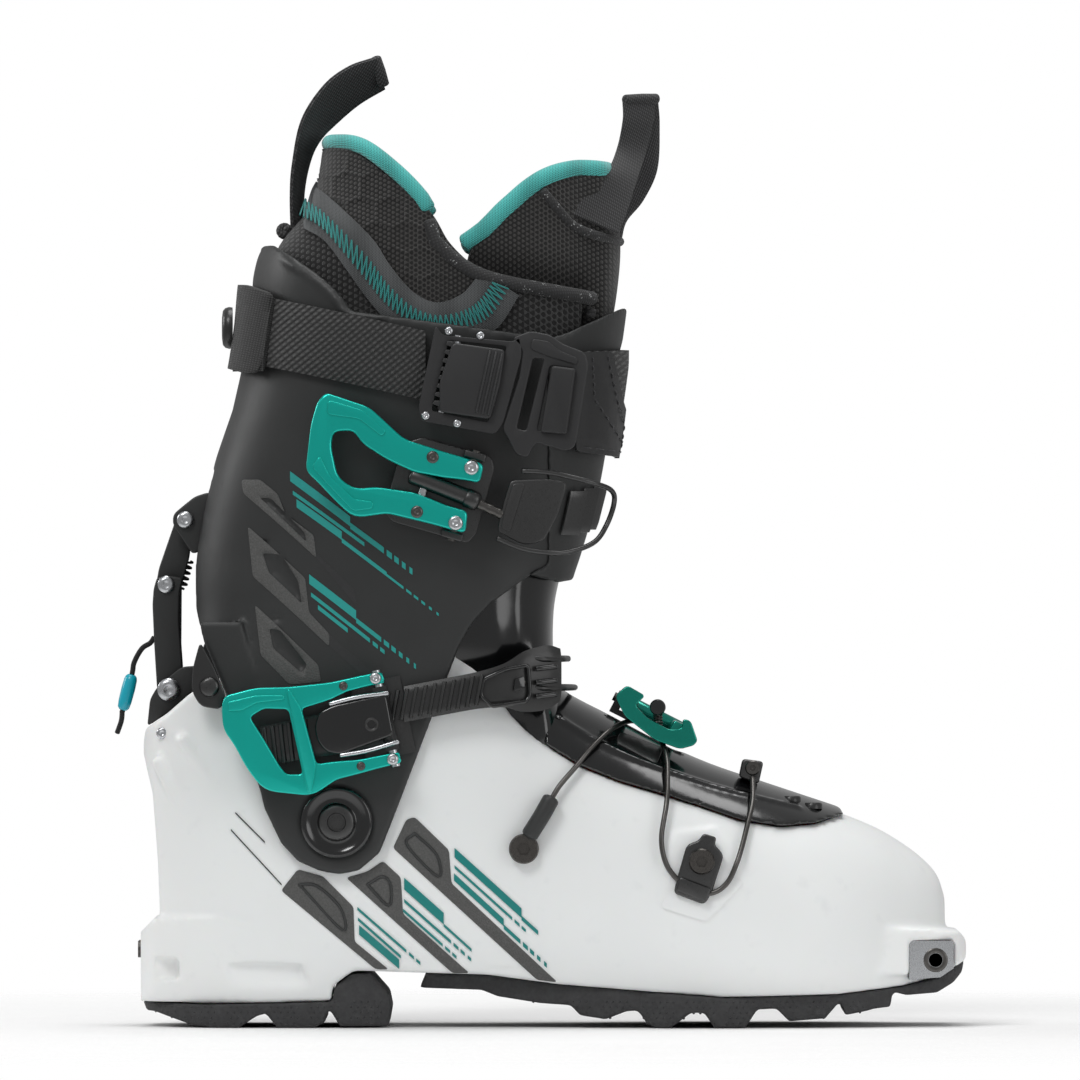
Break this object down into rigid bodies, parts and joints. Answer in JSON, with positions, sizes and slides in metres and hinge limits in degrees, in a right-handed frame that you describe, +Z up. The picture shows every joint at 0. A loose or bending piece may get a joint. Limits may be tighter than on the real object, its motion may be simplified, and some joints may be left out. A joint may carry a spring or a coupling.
{
  "type": "alpine touring boot",
  "caption": "Right ski touring boot: white lower shell, dark cuff on ankle pivots, teal buckle levers, strap, walk lock, liner and lugged sole.",
  "frame": {"origin": "middle of the boot box in X and Y, at the bottom of the sole lugs", "axes": "+X to the toe, +Y to the inner side of the leg, +Z up"},
  "size_m": [0.3076, 0.1267, 0.3503],
  "materials": {
    "white_shell": "satin",
    "cuff_dark": "satin, faint brushing",
    "inlay_grey": "fine texture",
    "black_plastic": "satin",
    "tongue_gloss": "glossy",
    "teal_lever": "satin anodised",
    "bright_steel": "bright",
    "dark_steel": "satin",
    "liner_fabric": "woven",
    "webbing": "woven",
    "sole_rubber": "matte",
    "foam": "matte",
    "cord": "braided",
    "bead_blue": "glossy"
  },
  "bodies": {
    "lower_boot": {"lower_shell": "white_shell", "shell_inlays": "inlay_grey", "sole_heel": "sole_rubber", "sole_forefoot": "sole_rubber", "toe_fitting": "bright_steel", "heel_fitting": "bright_steel", "heel_screws": "dark_steel", "boot_board": "foam", "footbed": "foam", "liner_boot": "liner_fabric", "shell_tongue": "tongue_gloss", "throat_cover": "tongue_gloss", "throat_screws": "dark_steel", "lock_bracket": "cuff_dark", "lock_pin": "bright_steel", "cable_sleeve": "dark_steel", "lace_cable": "dark_steel", "cable_clip": "dark_steel", "cable_screws": "dark_steel", "cable_post": "dark_steel", "instep_base": "black_plastic", "instep_pin": "bright_steel", "pivot_bolts": "dark_steel"},
    "cuff": {"cuff_shell": "cuff_dark", "cuff_flap": "cuff_dark", "cuff_inlays": "inlay_grey", "cuff_bracket": "cuff_dark", "guide_rivets": "bright_steel", "cuff_spoilers": "cuff_dark", "upper_base": "bright_steel", "upper_hinge_pin": "bright_steel", "buckle_ladder": "bright_steel", "strap_rear": "webbing", "strap_sleeve": "black_plastic", "strap_screw": "black_plastic", "strap_frame": "black_plastic", "strap_pin": "bright_steel", "strap_catch": "black_plastic", "strap_front": "webbing", "ankle_base": "bright_steel", "ankle_hinge_pin": "bright_steel", "ankle_strap": "black_plastic", "ankle_ring": "bright_steel", "liner_cuff": "liner_fabric", "liner_tongue": "liner_fabric", "rear_pull_loop": "webbing", "tongue_pull_loop": "webbing"},
    "lock_bar": {"lock_bar": "cuff_dark"},
    "pawl": {"walk_pawl": "dark_steel", "pull_cord": "cord", "cord_bead": "bead_blue"},
    "upper_lever": {"upper_lever": "teal_lever"},
    "bail": {"bail_barrel": "bright_steel", "bail_clip": "bright_steel", "bail_wire": "bright_steel"},
    "ankle_lever": {"ankle_lever": "teal_lever"},
    "release_tab": {"ankle_release_tab": "teal_lever"},
    "instep_lever": {"instep_lever": "teal_lever", "instep_knob": "teal_lever"},
    "strap_cam": {"strap_cam_lever": "black_plastic"}
  },
  "joints": [
    {"name": "cuff_pivot", "type": "hinge", "parent": "lower_boot", "child": "cuff", "pos_m": [-0.078, 0, 0.074], "axis": [0, 1, 0], "range_deg": [-28, 10], "deforming": ["shell_tongue", "ankle_strap", "ankle_ring"]},
    {"name": "lock_bar_swing", "type": "hinge", "parent": "lower_boot", "child": "lock_bar", "pos_m": [-0.139, 0, 0.1213], "axis": [0, 1, 0], "range_deg": [-60, 22], "deforming": ["pull_cord", "cord_bead"]},
    {"name": "pawl_swing", "type": "hinge", "parent": "lock_bar", "child": "pawl", "pos_m": [-0.14, 0, 0.1592], "axis": [0, 1, 0], "range_deg": [0, 10], "stiffness_Nm_per_rad": 0.05, "springref_deg": -20.05},
    {"name": "upper_lever_swing", "type": "hinge", "parent": "cuff", "child": "upper_lever", "pos_m": [-0.0324, -0.056, 0.1912], "axis": [0.2756, 0, 0.9613], "range_deg": [0, 120]},
    {"name": "bail_swing", "type": "hinge", "parent": "upper_lever", "child": "bail", "pos_m": [-0.04624, -0.0579, 0.19517], "axis": [0.2756, 0, 0.9613], "range_deg": [-120, 0]},
    {"name": "ankle_lever_swing", "type": "hinge", "parent": "cuff", "child": "ankle_lever", "pos_m": [-0.0603, -0.0505, 0.1113], "axis": [-0.2079, 0, 0.9781], "range_deg": [0, 110]},
    {"name": "release_tab_tip", "type": "hinge", "parent": "ankle_lever", "child": "release_tab", "pos_m": [-0.0603, -0.0505, 0.1113], "axis": [-0.2079, 0, 0.9781], "range_deg": [0, 20], "stiffness_Nm_per_rad": 0.05, "springref_deg": -20.05},
    {"name": "instep_lever_swing", "type": "hinge", "parent": "lower_boot", "child": "instep_lever", "pos_m": [0.036, 0.014, 0.1115], "axis": [-0.891, 0, 0.454], "range_deg": [0, 100]},
    {"name": "strap_cam_tip", "type": "hinge", "parent": "cuff", "child": "strap_cam", "pos_m": [-0.03737, -0.0599, 0.23492], "axis": [-0.2198, 0, -0.9755], "range_deg": [0, 50], "stiffness_Nm_per_rad": 0.05, "springref_deg": -20.05}
  ],
  "couplings": [
    {"joint": "lock_bar_swing", "follows": "cuff_pivot", "ratio": 2.1},
    {"joint": "bail_swing", "follows": "upper_lever_swing", "ratio": -1}
  ]
}
